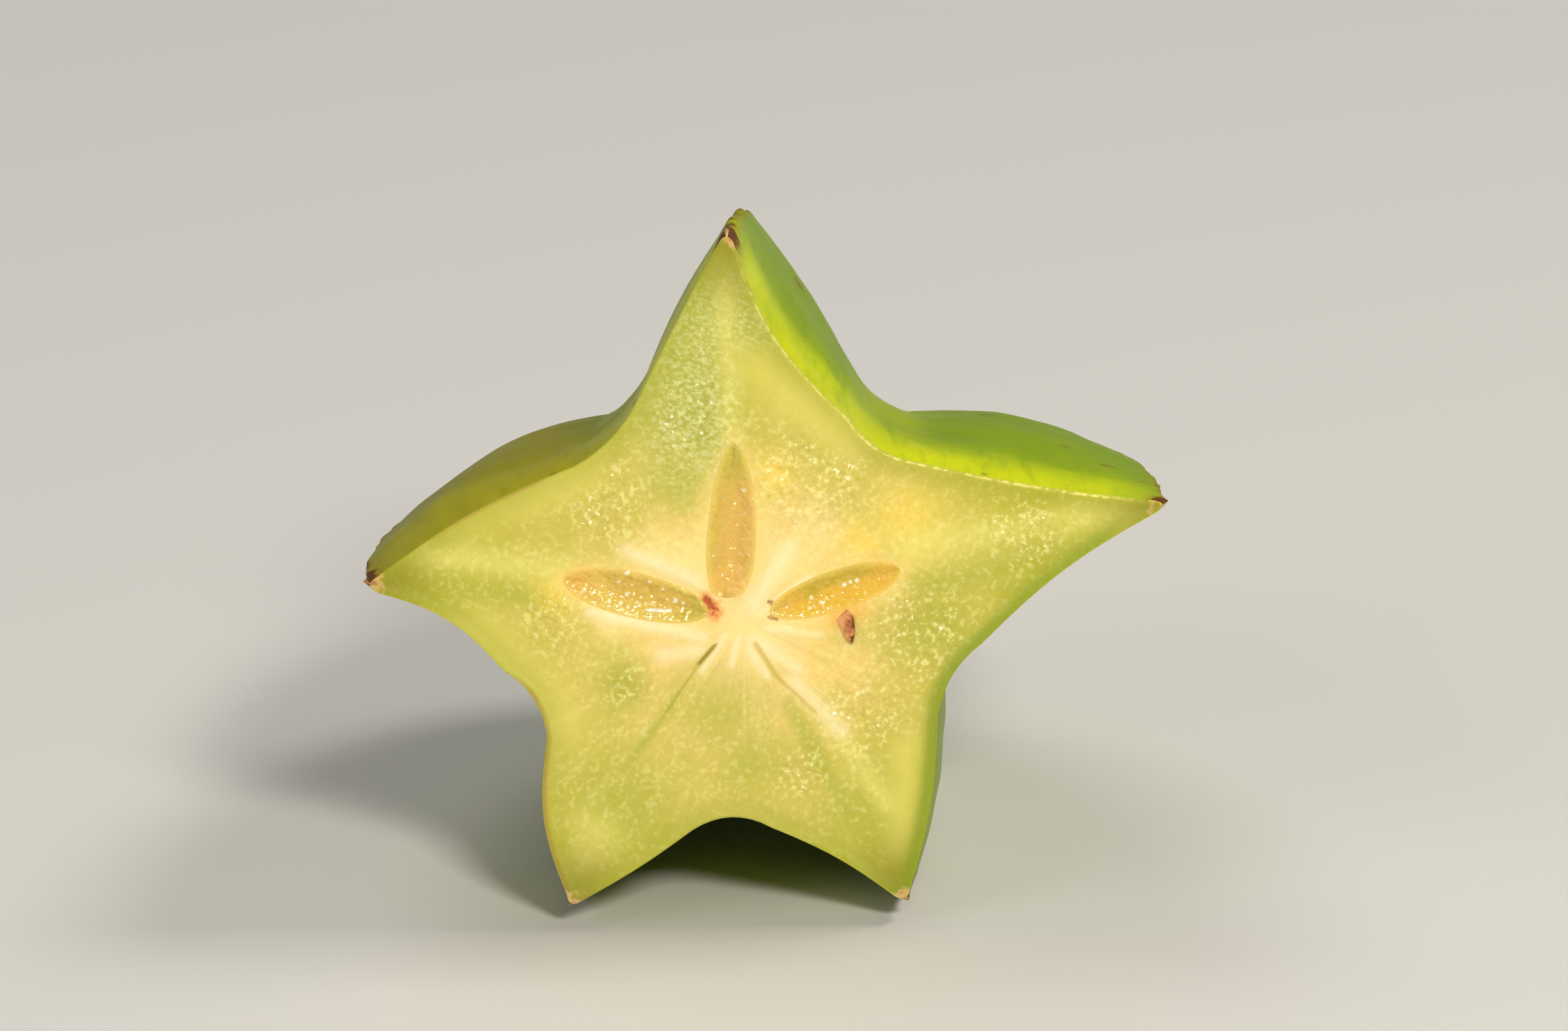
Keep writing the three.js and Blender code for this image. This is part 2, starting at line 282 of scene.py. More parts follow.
def placing():
    """The matrix from the cut's own frame, in millimetres, to the object's frame, in metres."""
    turn = resting_turn()
    points = [
        turn @ on_ring(point, station_distance(station))
        for station in range(0, BODY_STATIONS, 2)
        for point in outline_at(station_distance(station))
    ]
    low = [min(point[axis] for point in points) for axis in range(3)]
    high = [max(point[axis] for point in points) for axis in range(3)]
    shift = Vector((-(low[0] + high[0]) / 2, -(low[1] + high[1]) / 2, -low[2] - REST_FLAT_DEPTH))
    return Matrix.Scale(MM, 4) @ Matrix.Translation(shift) @ turn


PLACING = placing()
FROM_PLACE = PLACING.inverted()


# ---------------------------------------------------------------- measures on the cut

def smooth(low, high, value):
    """0 below low, 1 above high, and a smooth step between them; low may be above high."""
    share = min(1.0, max(0.0, (value - low) / (high - low)))
    return share * share * (3 - 2 * share)


def hill(distance, width):
    """1 on a line, fading to nothing over about twice the width."""
    return math.exp(-(distance / width) ** 2)


def from_line(x, z, line):
    """Distance from a point of the cut to a straight stretch on it."""
    start, end, point = Vector(line[0]), Vector(line[1]), Vector((x, z))
    along = end - start
    share = min(1.0, max(0.0, (point - start).dot(along) / along.length_squared))
    return (point - start - along * share).length


def patches(x, z, places):
    """How far a point of the cut lies within soft round patches, from 0 to 1."""
    return max(hill(math.hypot(x - px, z - pz), reach) for px, pz, reach in places)


def along_lines(x, z, lines):
    """How far a point of the cut lies within soft streaks, from 0 to 1."""
    return max(hill(from_line(x, z, line), line[2]) for line in lines)


def pod_swelling(share, ends):
    """How wide a chamber is at a share of the way to its outer end, as a share of its widest."""
    def rise(at):
        return at ** ends[0] * (1 - at) ** ends[1]
    return rise(share) / rise(ends[0] / (ends[0] + ends[1]))


def chamber_distance(x, z, chamber):
    """Distance from a point of the cut to the rim of a chamber, negative inside it."""
    inner, outer = Vector(chamber.inner), Vector(chamber.outer)
    length = (outer - inner).length
    along = (outer - inner) / length
    offset = Vector((x, z)) - inner
    run = offset.dot(along)
    to_left = offset.x * -along.y + offset.y * along.x
    if run < 0:
        return offset.length
    if run > length:
        return (Vector((x, z)) - outer).length
    width = chamber.widths[0 if to_left > 0 else 1]
    return abs(to_left) - width * pod_swelling(run / length, chamber.ends)


def grain(x, z, size, seed=0.0):
    """Soft noise from -1 to 1 with lumps of about the given size."""
    return noise.noise(Vector((x / size, z / size, seed)))


def frosty_side(x, z):
    """1 on the frosted left side and tip of the upper arm, 0 on the smooth right side of its vein."""
    start, end = Vector(UPPER_VEIN[0]), Vector(UPPER_VEIN[1])
    along = (end - start).normalized()
    offset = Vector((x, z)) - start
    beside = offset.x * -along.y + offset.y * along.x
    run = offset.dot(along)
    within = max(smooth(-1.2, 0.9, beside), smooth(5.0, 9.0, run))
    return within * smooth(9.0, 3.0, beside) * smooth(-6.0, 1.0, run)


def rim_tree():
    """The outline of the cut, ready to measure distances from."""
    star = outline_at(0.0)
    rim = kdtree.KDTree(len(star))
    for index, point in enumerate(star):
        rim.insert((point.x, point.y, 0), index)
    rim.balance()
    return rim


def cut_depth(x, z, edge):
    """How deep the cut's surface lies below the knife's plane at a point, edge millimetres from the skin."""
    depth = RIM_DIP * smooth(0.2, 0.9, edge)
    depth += KNIFE_WAVE * (0.5 + 0.5 * grain(x, z, 6.0))
    depth += GRAIN_DEPTH * grain(x, z, 0.8, 4.0) * smooth(0.3, 1.2, edge)
    for chamber in CHAMBERS:
        depth += CHAMBER_RIM_DIP * hill(max(0.0, chamber_distance(x, z, chamber)), 0.5)
    for line, groove_depth, width in GROOVES:
        depth += groove_depth * hill(from_line(x, z, line), width)
    depth -= STREAK_HEIGHT * along_lines(x, z, PALE_STREAKS)
    depth += CORE_DOT_DEPTH * hill(math.hypot(x - CORE_DOT[0], z - CORE_DOT[1]), 0.3)
    depth += STAIN_DEPTH * hill(from_line(x, z, STAIN), 0.35)
    depth += FROST_DEPTH * frosty_side(x, z) - VEIN_HEIGHT * hill(from_line(x, z, UPPER_VEIN), 0.5)
    return depth


# ---------------------------------------------------------------- the body

def start_fresh():
    """Leaves edit mode and selects nothing."""
    if bpy.context.object and bpy.context.object.mode != "OBJECT":
        bpy.ops.object.mode_set(mode="OBJECT")
    bpy.ops.object.select_all(action="DESELECT")


def take_up(piece):
    """Makes a piece the only one selected."""
    start_fresh()
    piece.select_set(True)
    bpy.context.view_layer.objects.active = piece


def edit_mesh():
    """The mesh that is open in edit mode, with its lookup table fresh."""
    shape = bmesh.from_edit_mesh(bpy.context.object.data)
    shape.verts.ensure_lookup_table()
    return shape


def draw_out(ring, places):
    """Extrudes the selected ring of edges once and lays the new ring on the given places."""
    bpy.ops.mesh.extrude_region_move()
    shape = edit_mesh()
    moved = []
    for index, place in zip(ring, places):
        old = shape.verts[index]
        new = next(edge.other_vert(old) for edge in old.link_edges if edge.other_vert(old).select)
        new.co = place
        moved.append(new.index)
    return moved


def skin_place(point, distance, step):
    """A point of the skin with its small swellings, and with the crest's dry, uneven edge."""
    place = on_ring(point, distance)
    within = (step - CREST_STEP) % STEPS_PER_RIDGE
    from_crest = min(within, STEPS_PER_RIDGE - within)
    ridge = round((step - CREST_STEP) / STEPS_PER_RIDGE) % 5
    outwards = Vector((point.x, 0, point.y)).normalized()
    fade = smooth(0.0, 3.0, distance) * smooth(FRUIT_LENGTH, FRUIT_LENGTH - 4.0, distance)
    swell = BROAD_SWELL * noise.noise(place * 0.11) + FINE_SWELL * noise.noise(place * 0.35)
    wave = CREST_WAVE * noise.noise(Vector((distance * 0.20, ridge * 7.0, 3.0)))
    nicks = CREST_NICKS * noise.noise(Vector((distance * 1.1, ridge * 5.0, 9.0)))
    fin = CREST_FIN * hill(from_crest, 1.6) * hill(distance - 0.9, 1.3)
    return place + outwards * (fade * (swell + hill(from_crest, 5.0) * (wave + nicks)) + fin)


def build_body(name):
    """The half fruit: a star drawn back ring by ring to the blossom end, and inwards to the core."""
    start_fresh()
    bpy.ops.mesh.primitive_circle_add(vertices=STEPS_AROUND, radius=1.0, fill_type="NOTHING")
    piece = bpy.context.object
    piece.name = name
    bpy.ops.object.mode_set(mode="EDIT")
    star = outline_at(0.0)
    for vert, point in zip(edit_mesh().verts, star):
        vert.co = on_ring(point, 0.0)
    cut_ring = list(range(STEPS_AROUND))

    ring = cut_ring
    for station in range(1, BODY_STATIONS):
        distance = station_distance(station)
        outline = outline_at(distance)
        ring = draw_out(ring, [skin_place(point, distance, step) for step, point in enumerate(outline)])
    foot = FRUIT_LENGTH - SCAR_DIMPLE
    for radius, distance in (
        (SCAR_RADIUS * 1.15, foot + 0.05),
        (SCAR_RADIUS, foot),
        (SCAR_RADIUS * 0.92, foot + SCAR_HEIGHT * 0.5),
        (SCAR_RADIUS * SCAR_TAPER, foot + SCAR_HEIGHT),
        (SCAR_RADIUS * SCAR_TAPER * 0.5, foot + SCAR_HEIGHT * 0.85),
    ):
        ring = draw_out(ring, [on_ring(point.normalized() * radius, distance) for point in star])
    bpy.ops.mesh.merge(type="CENTER")

    bpy.ops.mesh.select_all(action="DESELECT")
    for edge in edit_mesh().edges:
        if edge.verts[0].index < STEPS_AROUND and edge.verts[1].index < STEPS_AROUND:
            edge.select_set(True)
    ring = cut_ring
    rim = rim_tree()
    for inset in range(1, FACE_RINGS):
        share = 1 - (inset / FACE_RINGS) ** 1.15
        places = []
        for point in star:
            x, z = point * share
            edge = rim.find((x, z, 0))[2]
            places.append(Vector((x, cut_depth(x, z, edge), z)))
        ring = draw_out(ring, places)
    bpy.ops.mesh.merge(type="CENTER")
    bpy.ops.mesh.select_all(action="SELECT")
    bpy.ops.mesh.normals_make_consistent(inside=False)
    bpy.ops.object.mode_set(mode="OBJECT")
    return piece


def pod_point(chamber, direction, front, back, spread):
    """
    A point of a pod in a chamber, from a direction on the unit ball whose x runs along the chamber and
    whose z runs into the fruit. front and back are how deep the two sides of the pod reach, and spread is
    how far the pod laps over the chamber's rim.
    """
    inner, outer = Vector(chamber.inner), Vector(chamber.outer)
    along = (outer - inner).normalized()
    left = Vector((-along.y, along.x))
    share = min(1.0, max(0.0, (1 + direction.x) / 2))
    girth = math.hypot(direction.y, direction.z)
    to_left = direction.y / girth if girth > 0 else 0.0
    inwards = direction.z / girth if girth > 0 else 0.0
    size = pod_swelling(share, chamber.ends)
    width = chamber.widths[0 if to_left > 0 else 1] + spread
    place = inner - along * spread + (outer - inner + 2 * along * spread) * share
    place += left * (to_left * width * size)
    depth = size * inwards * (back if inwards > 0 else front)
    return Vector((place.x, depth, place.y))


def build_pod(name, chamber, front, back, steps, spread=0.0):
    """A pod that lies in the cut, shaped from a ball whose poles are its two ends."""
    start_fresh()
    bpy.ops.mesh.primitive_uv_sphere_add(segments=steps[0], ring_count=steps[1], radius=1.0)
    piece = bpy.context.object
    piece.name = name
    for vert in piece.data.vertices:
        direction = Vector((vert.co.z, vert.co.x, vert.co.y))
        vert.co = pod_point(chamber, direction, front, back, spread)
    bpy.ops.object.mode_set(mode="EDIT")
    bpy.ops.mesh.select_all(action="SELECT")
    bpy.ops.mesh.normals_make_consistent(inside=False)
    bpy.ops.object.mode_set(mode="OBJECT")
    return piece


def build_chip(name, growth, front, back):
    """A wedge of broken seed: its outline, drawn into the fruit."""
    start_fresh()
    bpy.ops.mesh.primitive_circle_add(vertices=len(CHIP_OUTLINE), radius=1.0, fill_type="NGON")
    piece = bpy.context.object
    piece.name = name
    middle = sum((Vector(point) for point in CHIP_OUTLINE), Vector((0, 0))) / len(CHIP_OUTLINE)
    for vert, point in zip(piece.data.vertices, CHIP_OUTLINE):
        place = middle + (Vector(point) - middle) * growth
        vert.co = (place.x, front, place.y)
    bpy.ops.object.mode_set(mode="EDIT")
    bpy.ops.mesh.select_all(action="SELECT")
    bpy.ops.mesh.extrude_region_move(TRANSFORM_OT_translate={"value": (0, back - front, 0)})
    bpy.ops.mesh.select_all(action="SELECT")
    bpy.ops.mesh.normals_make_consistent(inside=False)
    bpy.ops.object.mode_set(mode="OBJECT")
    return piece


def cut_with(piece, cutters):
    """Cuts the cutters out of a piece, which stays one closed mesh."""
    for cutter in cutters:
        take_up(piece)
        cut = piece.modifiers.new("cut", "BOOLEAN")
        cut.operation = "DIFFERENCE"
        cut.solver = "EXACT"
        cut.object = cutter
        bpy.ops.object.modifier_apply(modifier=cut.name)
        bpy.data.objects.remove(cutter)


def lay_down(piece):
    """Carries a piece from the cut's own frame to where it lies, with its place in its mesh."""
    piece.data.transform(PLACING)
    piece.data.update()


def press_flat(piece):
    """Presses what would sink below the surface flat on it."""
    for vert in piece.data.vertices:
        vert.co.z = max(vert.co.z, 0.0)


def write_measures(piece, names, rows):
    """Stores named measures on the points of a piece, from one row of values for each point."""
    for name, values in zip(names, zip(*rows)):
        layer = piece.data.attributes.new(name=name, type="FLOAT", domain="POINT")
        layer.data.foreach_set("value", values)


BODY_MEASURES = (
    "edge", "core", "chamber", "vein", "tip", "crest", "valley", "back", "cream", "warm", "green",
    "streak", "slit", "seam", "stain", "smoothness", "rim_highlight", "shaded", "frosty", "juice", "flecked",
    "green_and_shaded_rim", "rusty_rim", "scuff", "splinter",
)


def line_tree(corner, share_at):
    """The five crest or valley lines, ready to measure distances from."""
    tree = kdtree.KDTree(5 * BODY_STATIONS)
    for station in range(BODY_STATIONS):
        distance = station_distance(station)
        for index, ridge in enumerate(RIDGES):
            point = Vector(getattr(ridge, corner)) * share_at(distance, ridge)
            tree.insert(on_ring(point, distance), station * 5 + index)
    tree.balance()
    return tree


def rim_highlight_strength(step):
    """How strongly the painted highlight, a pale line beside the skin, shows along the rim, between the upper
    and right crests.
    """
    between = smooth(0, 30, step) * smooth(STEPS_PER_RIDGE, STEPS_PER_RIDGE - 10, step)
    return between * (0.6 + 0.4 * smooth(STEPS_PER_RIDGE * 0.42, STEPS_PER_RIDGE * 0.62, step))


def body_measures():
    """A function that gives the measures of a point of the body, in the order of their names."""
    rim = rim_tree()
    crests = line_tree("crest", lambda d, ridge: swelling(d, ridge.highest, CREST_BLUNTNESS))
    valleys = line_tree("valley", lambda d, ridge: swelling(d, VALLEY_HIGHEST, VALLEY_BLUNTNESS))

    def measure(place):
        x, z = place.x, place.z
        slit = min(from_line(x, z, SLIT), 0.1 + from_line(x, z, SLIT_TRACE))
        seam = min(from_line(x, z, SEAM), 0.08 + from_line(x, z, SEAM_TRACE))
        _, rim_index, edge = rim.find((x, z, 0))
        return (
            edge,
            math.hypot(x, z),
            min(chamber_distance(x, z, chamber) for chamber in CHAMBERS),
            along_lines(x, z, VEINS),
            min((Vector((x, z)) - Vector(ridge.crest)).length for ridge in RIDGES),
            crests.find(place)[2],
            valleys.find(place)[2],
            place.dot(RUN),
            patches(x, z, CREAM_PLACES),
            patches(x, z, WARM_PLACES),
            max(patches(x, z, GREEN_PLACES), along_lines(x, z, GREEN_STREAKS)),
            along_lines(x, z, PALE_STREAKS),
            slit,
            seam,
            from_line(x, z, STAIN),
            along_lines(x, z, SMOOTH_PLACES),
            rim_highlight_strength(rim_index),
            smooth(-9.0, -17.0, x),
            frosty_side(x, z),
            hill(from_line(x, z, JUICE), 0.9),
            patches(x, z, FLECKED_PLACES),
            max(hill(from_line(x, z, rim_part), 2.0) for rim_part in GREEN_AND_SHADED_RIMS),
            max(hill(from_line(x, z, rim_part), 1.6) for rim_part in RUSTY_RIMS),
            max(hill((place - Vector(scuff[:3])).length, scuff[3]) for scuff in SCUFFS),
            min(from_line(x, z, splinter) for splinter in SPLINTERS),
        )

    return measure


def assign_flesh(piece):
    """Gives the cut and the chambers' walls the second material, the flesh."""
    for face in piece.data.polygons:
        place = FROM_PLACE @ face.center
        normal = FROM_PLACE.to_3x3() @ face.normal
        on_cut = normal.y < -CUT_FACING * normal.length and place.y < CUT_REACH
        in_chamber = place.y < CHAMBERS_REACH and math.hypot(place.x, place.z) < CHAMBERS_SPAN
        face.material_index = 1 if on_cut or in_chamber else 0


# ---------------------------------------------------------------- materials

def tint(red, green, blue):
    """A colour given from 0 to 255 as it looks, as the shader takes it."""
    def linear(value):
        value /= 255
        return value / 12.92 if value <= 0.04045 else ((value + 0.055) / 1.055) ** 2.4
    return (linear(red), linear(green), linear(blue), 1.0)


class Finish:
    """A material under construction, with short ways to add and join its nodes."""

    def __init__(self, name):
        self.material = bpy.data.materials.new(name)
        self.material.use_nodes = True
        self.tree = self.material.node_tree
        self.shader = self.tree.nodes["Principled BSDF"]
        self.cut_place = None
        self.colour = None

    def node(self, kind, inputs=(), **settings):
        """A node with its settings made and its inputs joined or set."""
        made = self.tree.nodes.new(kind)
        for key, value in settings.items():
            setattr(made, key, value)
        for key, value in dict(inputs).items():
            self.join(value, made.inputs[key])
        return made

    def join(self, value, socket):
        """Joins an output to a socket, or sets the socket to a plain value."""
        if isinstance(value, bpy.types.NodeSocket):
            self.tree.links.new(value, socket)
        else:
            socket.default_value = value

    def measure(self, name):
        """A measure stored on the points of the piece."""
        return self.node("ShaderNodeAttribute", attribute_name=name).outputs["Fac"]

    def place(self):
        """Place in the cut's own frame, in millimetres."""
        if self.cut_place is None:
            shift, turn, scale = FROM_PLACE.decompose()
            mapping = self.node("ShaderNodeMapping", {
                "Vector": self.node("ShaderNodeTexCoord").outputs["Object"],
                "Location": shift, "Rotation": turn.to_euler(), "Scale": scale,
            })
            self.cut_place = mapping.outputs["Vector"]
        return self.cut_place

    def stretched(self, x, y, z):
        """Place in the cut's own frame, drawn out or squeezed along its axes."""
        made = self.node("ShaderNodeVectorMath", operation="MULTIPLY")
        self.join(self.place(), made.inputs[0])
        made.inputs[1].default_value = (x, y, z)
        return made.outputs["Vector"]

    def rays(self, count, length):
        """A place that changes quickly round the core and slowly along the rays that leave it."""
        flat = self.stretched(1, 0, 1)
        spoke = self.node("ShaderNodeVectorMath", operation="NORMALIZE")
        self.join(flat, spoke.inputs[0])
        around = self.node("ShaderNodeVectorMath", operation="SCALE")
        self.join(spoke.outputs["Vector"], around.inputs[0])
        around.inputs["Scale"].default_value = count
        reach = self.node("ShaderNodeVectorMath", operation="LENGTH")
        self.join(flat, reach.inputs[0])
        lift = self.node("ShaderNodeCombineXYZ")
        self.join(self.math("DIVIDE", reach.outputs["Value"], length), lift.inputs["Y"])
        made = self.node("ShaderNodeVectorMath", operation="ADD")
        self.join(around.outputs["Vector"], made.inputs[0])
        self.join(lift.outputs["Vector"], made.inputs[1])
        return made.outputs["Vector"]

    def noise(self, size, detail=3.0, roughness=0.5, place=None):
        """Cloudy noise from 0 to 1, with lumps of about the given size."""
        made = self.node("ShaderNodeTexNoise", {
            "Vector": place or self.place(), "Scale": 1 / size, "Detail": detail, "Roughness": roughness,
        })
        return made.outputs["Fac"]

    def cells(self, size):
        """Distance from the middle of the nearest of many cells of the given size, as a share of it."""
        made = self.node("ShaderNodeTexVoronoi", {"Vector": self.place(), "Scale": 1 / size})
        return made.outputs["Distance"]

    def facets(self, size):
        """Height of many small cells that each lean their own way, in millimetres."""
        made = self.node("ShaderNodeTexVoronoi", {"Vector": self.place(), "Scale": 1 / size})
        offset = self.node("ShaderNodeVectorMath", operation="SUBTRACT")
        self.join(self.place(), offset.inputs[0])
        self.join(made.outputs["Position"], offset.inputs[1])
        lean = self.node("ShaderNodeVectorMath", operation="SUBTRACT")
        self.join(made.outputs["Color"], lean.inputs[0])
        lean.inputs[1].default_value = (0.5, 0.5, 0.5)
        height = self.node("ShaderNodeVectorMath", operation="DOT_PRODUCT")
        self.join(offset.outputs["Vector"], height.inputs[0])
        self.join(lean.outputs["Vector"], height.inputs[1])
        return height.outputs["Value"]

    def fade(self, value, low, high, start=0.0, end=1.0):
        """Goes smoothly from start to end while the value goes from low to high."""
        made = self.node("ShaderNodeMapRange", {
            "Value": value, "From Min": low, "From Max": high, "To Min": start, "To Max": end,
        }, interpolation_type="SMOOTHSTEP")
        return made.outputs["Result"]

    def drift(self, size, swing, detail=3.0, roughness=0.5):
        """Cloudy drift from -swing to swing, with lumps of about the given size."""
        return self.fade(self.noise(size, detail, roughness), 0.3, 0.7, -swing, swing)

    def math(self, operation, a, b):
        """A sum, product or the like of two values."""
        made = self.node("ShaderNodeMath", operation=operation)
        self.join(a, made.inputs[0])
        self.join(b, made.inputs[1])
        return made.outputs["Value"]

    def product(self, *values):
        """The product of several values."""
        result = values[0]
        for value in values[1:]:
            result = self.math("MULTIPLY", result, value)
        return result

    def ramp(self, value, stops):
        """A colour read from a row of colours by a value from 0 to 1."""
        made = self.node("ShaderNodeValToRGB", {"Fac": value})
        elements = made.color_ramp.elements
        while len(elements) < len(stops):
            elements.new(0.5)
        for element, (position, colour) in zip(elements, stops):
            element.position = position
            element.color = colour
        return made.outputs["Color"]

    def lay(self, share, over):
        """Lays a colour over the colour so far by a share."""
        made = self.node("ShaderNodeMix", data_type="RGBA")
        self.join(share, made.inputs[0])
        self.join(self.colour, made.inputs[6])
        self.join(over, made.inputs[7])
        self.colour = made.outputs[2]

    def relief(self, height, distance, under=None):
        """A surface normal from a height; distance is what a height of 1 stands for, in millimetres."""
        made = self.node("ShaderNodeBump", {"Height": height, "Distance": distance * MM, "Strength": 1.0})
        if under is not None:
            self.join(under, made.inputs["Normal"])
        return made.outputs["Normal"]

    def set(self, **sockets):
        """Joins or sets the sockets of the shader, named with _ for each space."""
        for key, value in sockets.items():
            self.join(value, self.shader.inputs[key.replace("_", " ")])


def skin_finish():
    """Waxy skin: lime yellow by the cut, partly a painted glow of light through it, greener behind, with
    brown dry crests and small blemishes.
    """
    finish = Finish("waxy_skin")
    back, crest, valley = finish.measure("back"), finish.measure("crest"), finish.measure("valley")
    # lime yellow close behind the cut, partly the skin's colour and partly a painted glow of light through
    # it, greener further back
    shade = finish.math("ADD", finish.fade(back, -0.5, 18.0), finish.drift(10.0, 0.16))
    finish.colour = finish.ramp(shade, [
        (0.0, tint(200, 208, 1)),
        (0.25, tint(182, 196, 1)),
        (0.6, tint(138, 162, 1)),
        (1.0, tint(122, 148, 2)),
    ])
    finish.lay(finish.fade(valley, 1.0, 6.0, 0.3, 0.0), tint(196, 202, 2))
    grown = finish.noise(1.6, 4.0, 0.6, finish.stretched(1, 0.14, 1))
    finish.lay(finish.fade(grown, 0.45, 0.78, 0.0, 0.5), tint(112, 144, 2))
    finish.lay(finish.fade(crest, 1.0, 5.0, 0.45, 0.0), tint(118, 148, 2))
    finish.lay(finish.product(finish.measure("shaded"), 0.6), tint(144, 118, 1))
    # painted shade: the skin close behind these rims darkened to deep green
    deep = finish.product(finish.measure("green_and_shaded_rim"), finish.fade(back, 4.0, 14.0, 1.0, 0.0))
    finish.lay(finish.product(deep, 0.7), tint(84, 112, 0))
    pores = finish.cells(1.1)
    finish.lay(finish.fade(pores, 0.05, 0.13, 0.3, 0.0), tint(214, 214, 70))
    worn = finish.math("ADD", crest, finish.drift(1.3, 0.7, 4.0, 0.7))
    worn = finish.math("ADD", worn, finish.fade(back, 2.0, 9.0, 0.0, 0.55))
    worn = finish.math("SUBTRACT", worn, finish.product(finish.measure("scuff"), 1.5))
    finish.lay(finish.fade(worn, 0.7, 2.0, 0.7, 0.0), tint(146, 124, 14))
    finish.lay(finish.fade(worn, 0.35, 1.0, 0.95, 0.0), tint(92, 46, 18))
    papery = finish.product(finish.fade(crest, 0.15, 0.5, 1.0, 0.0), finish.fade(back, 2.0, 4.0, 1.0, 0.0))
    finish.lay(finish.product(papery, 0.8), tint(214, 178, 132))
    spots = finish.noise(3.0, 2.0)
    finish.lay(finish.fade(spots, 0.70, 0.75, 0.0, 0.7), tint(124, 92, 34))
    normal = finish.relief(finish.noise(0.6, 3.0), 0.02)
    normal = finish.relief(finish.noise(3.0, 2.0, 0.5, finish.stretched(1, 0.3, 1)), 0.25, normal)
    normal = finish.relief(finish.fade(pores, 0.0, 0.16), 0.02, normal)
    finish.set(
        Base_Color=finish.colour,
        Roughness=finish.fade(worn, 0.4, 1.4, 0.62, 0.4),
        Normal=normal,
        Specular_IOR_Level=0.11,
        Subsurface_Weight=0.12,
        Subsurface_Radius=(1.0, 1.0, 0.1),
        Subsurface_Scale=1.2 * MM,
    )
    return finish.material


